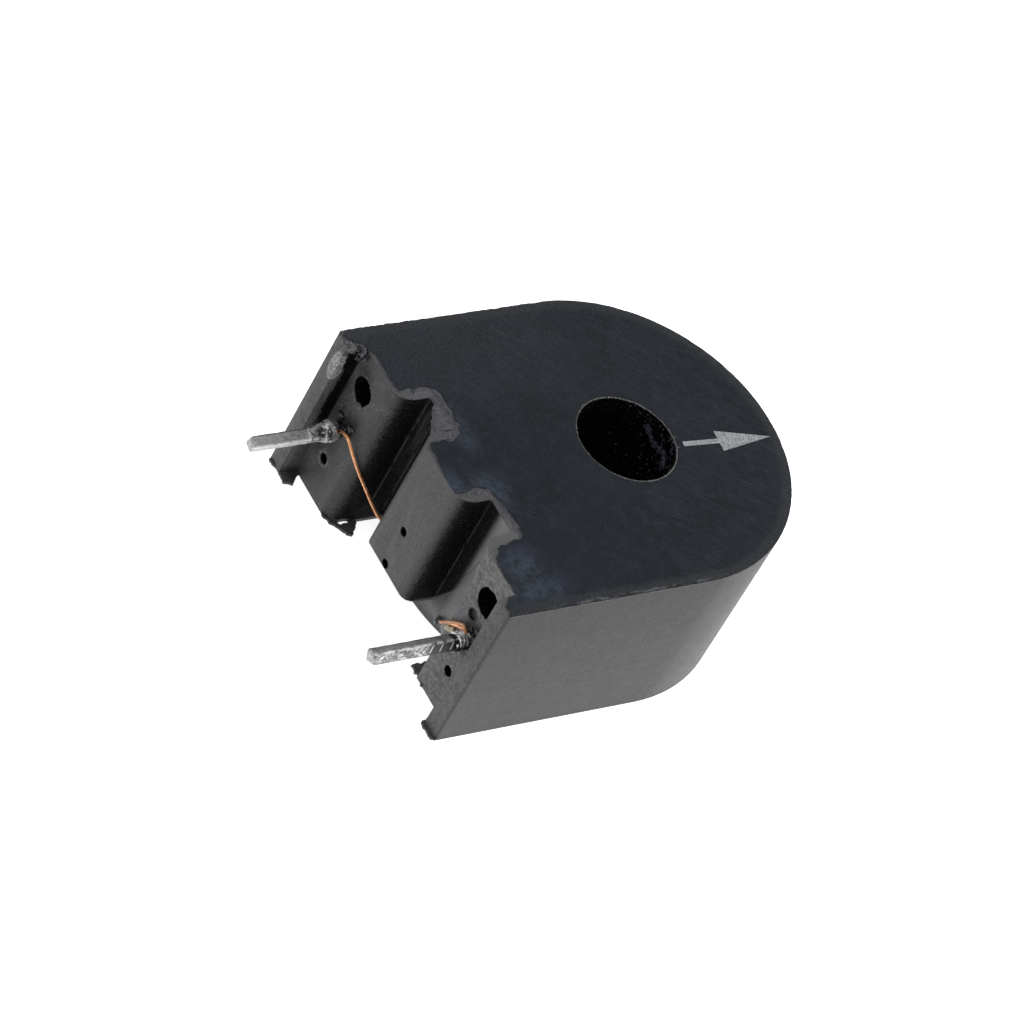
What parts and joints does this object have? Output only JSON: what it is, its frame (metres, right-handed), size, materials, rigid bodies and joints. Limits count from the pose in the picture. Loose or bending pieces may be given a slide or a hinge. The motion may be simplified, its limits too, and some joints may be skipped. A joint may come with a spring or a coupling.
{
  "type": "current transformer",
  "caption": "Potted through-hole current transformer for a circuit board, a rounded block with a bore for the conductor, stepped feet, square terminal pins and thin lead wires",
  "frame": {"origin": "on the axis of the conductor bore, in the plane of the back face", "axes": "+Z along the bore out of the printed face, +Y towards the rounded end, -Y towards the board with the pins, +X to the right seen from the printed face"},
  "size_m": [0.017, 0.0243, 0.009],
  "materials": {
    "case": "moulded, matt grey-black",
    "potting": "poured compound, lapped flat, blue-black",
    "core": "wound magnetic tape",
    "coat": "insulating coat",
    "copper": "enamelled copper wire",
    "solder": "dull solder over wound wire",
    "pin": "tinned, drawn square wire",
    "ink": "worn pale ink"
  },
  "bodies": {
    "root": {"housing": "case", "potting": "potting", "toroid_core": "core", "core_coat": "coat", "secondary_winding": "copper", "lead_wire_left": "copper", "lead_wire_right": "copper", "solder_joint_left": "solder", "solder_joint_right": "solder", "terminal_pin_left": "pin", "terminal_pin_right": "pin", "direction_arrow": "ink"}
  },
  "joints": []
}
